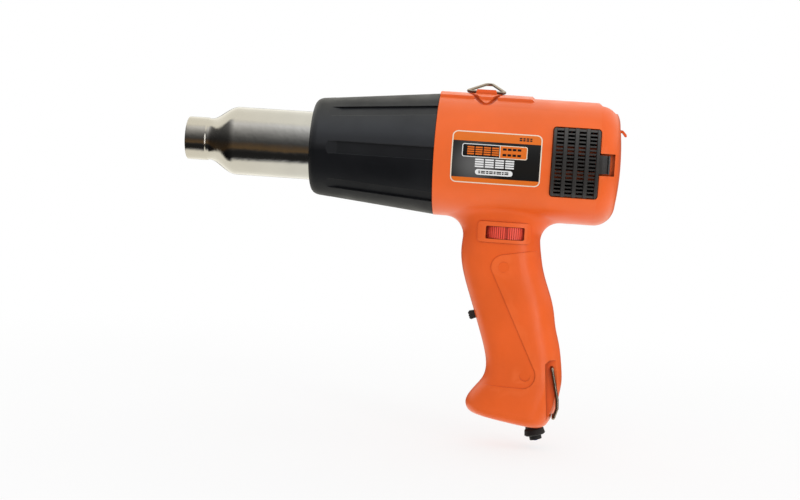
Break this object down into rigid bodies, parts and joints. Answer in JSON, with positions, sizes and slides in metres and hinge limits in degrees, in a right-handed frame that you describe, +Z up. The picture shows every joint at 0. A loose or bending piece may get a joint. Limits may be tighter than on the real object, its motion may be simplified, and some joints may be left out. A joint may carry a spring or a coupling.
{
  "type": "heat gun",
  "caption": "Hand-held electric heat gun: steel hot-air tube, black fluted sleeve, orange pistol-grip housing, dial, slide switch, inlet covers and wire hangers.",
  "frame": {"origin": "on the barrel's axis, where the hot-air outlet's rolled lip meets its cuff", "axes": "+X along the barrel from the outlet to the rear, +Z up, the handle hangs towards -Z, -Y is the left side that carries the label"},
  "size_m": [0.2575, 0.0738, 0.2082],
  "materials": {
    "orange_plastic": "satin moulded",
    "sleeve_plastic": "fine matt texture",
    "nozzle_steel": "spun and polished",
    "mica": "dull board",
    "heater_wire": "oxidised resistance wire",
    "ceramic": "unglazed",
    "zinc_steel": "zinc plated",
    "dark_steel": "black passivated",
    "wire_steel": "plated wire",
    "dark_plastic": "satin",
    "black_plastic": "satin",
    "ivory_plastic": "satin",
    "red_plastic": "satin",
    "ferrite": "matt",
    "copper_wire": "enamelled copper",
    "bronze": "bare",
    "rubber_black": "matt",
    "circuit_board": "solder mask",
    "bare_aluminium": "mill finish",
    "capacitor_film": "moulded case",
    "wire_insulation": "insulation",
    "label_stock": "printed film"
  },
  "bodies": {
    "gun": {"housing_left": "orange_plastic", "housing_right": "orange_plastic", "front_sleeve": "sleeve_plastic", "nozzle_tube": "nozzle_steel", "mica_liner": "mica", "mica_plate_upright": "mica", "mica_plate_flat": "mica", "heating_coil": "heater_wire", "heater_base": "ceramic", "thermal_fuse": "zinc_steel", "fan_shroud": "dark_plastic", "motor_can": "dark_steel", "motor_end_bell": "black_plastic", "motor_magnets": "ferrite", "motor_bushes": "bronze", "motor_brushes": "ferrite", "motor_damper": "rubber_black", "rectifier_board": "circuit_board", "rectifier_diodes": "black_plastic", "motor_terminals": "bronze", "rating_label": "label_stock", "potentiometer": "dark_plastic", "control_board": "circuit_board", "triac": "black_plastic", "heatsink": "bare_aluminium", "capacitor": "capacitor_film", "switch_body": "dark_plastic", "cord_boot": "rubber_black", "mains_lead": "rubber_black", "lead_cores": "wire_insulation", "cord_clamp": "dark_plastic", "terminal_block": "ivory_plastic", "terminal_screws": "bronze", "internal_wires": "wire_insulation", "housing_screws": "zinc_steel", "tube_flange_screws": "zinc_steel", "motor_screws": "zinc_steel", "cord_clamp_screws": "zinc_steel"},
    "rotor": {"fan_impeller": "dark_plastic", "motor_shaft": "zinc_steel", "armature": "zinc_steel", "armature_windings": "copper_wire", "commutator": "copper_wire"},
    "dial": {"thumbwheel": "red_plastic", "potentiometer_shaft": "zinc_steel"},
    "slide_knob": {"switch_knob": "black_plastic"},
    "ring": {"hanging_ring": "wire_steel"},
    "bail": {"handle_bail": "wire_steel"},
    "left_cover": {"vent_cover_left": "black_plastic"},
    "right_cover": {"vent_cover_right": "black_plastic"}
  },
  "joints": [
    {"name": "rotor_spin", "type": "hinge", "parent": "gun", "child": "rotor", "pos_m": [0.2, 0, 0], "axis": [1, 0, 0], "continuous": true},
    {"name": "dial_turn", "type": "hinge", "parent": "gun", "child": "dial", "pos_m": [0.191, -0.0034, -0.0429], "axis": [0, 0, 1], "range_deg": [-135, 135]},
    {"name": "switch_slide", "type": "slide", "parent": "gun", "child": "slide_knob", "axis": [-0.3206, 0, 0.9472], "range_m": [0, 0.007]},
    {"name": "ring_swing", "type": "hinge", "parent": "gun", "child": "ring", "pos_m": [0.17385, 0, 0.0378], "axis": [1, 0, 0], "range_deg": [-7.5, 186.5]},
    {"name": "bail_swing", "type": "hinge", "parent": "gun", "child": "bail", "pos_m": [0.2233, 0, -0.1195], "axis": [0, -1, 0], "range_deg": [0, 100]},
    {"name": "left_cover_removal", "type": "slide", "parent": "gun", "child": "left_cover", "axis": [0, -1, 0], "range_m": [0, 0.02]},
    {"name": "right_cover_removal", "type": "slide", "parent": "gun", "child": "right_cover", "axis": [0, 1, 0], "range_m": [0, 0.02]}
  ]
}
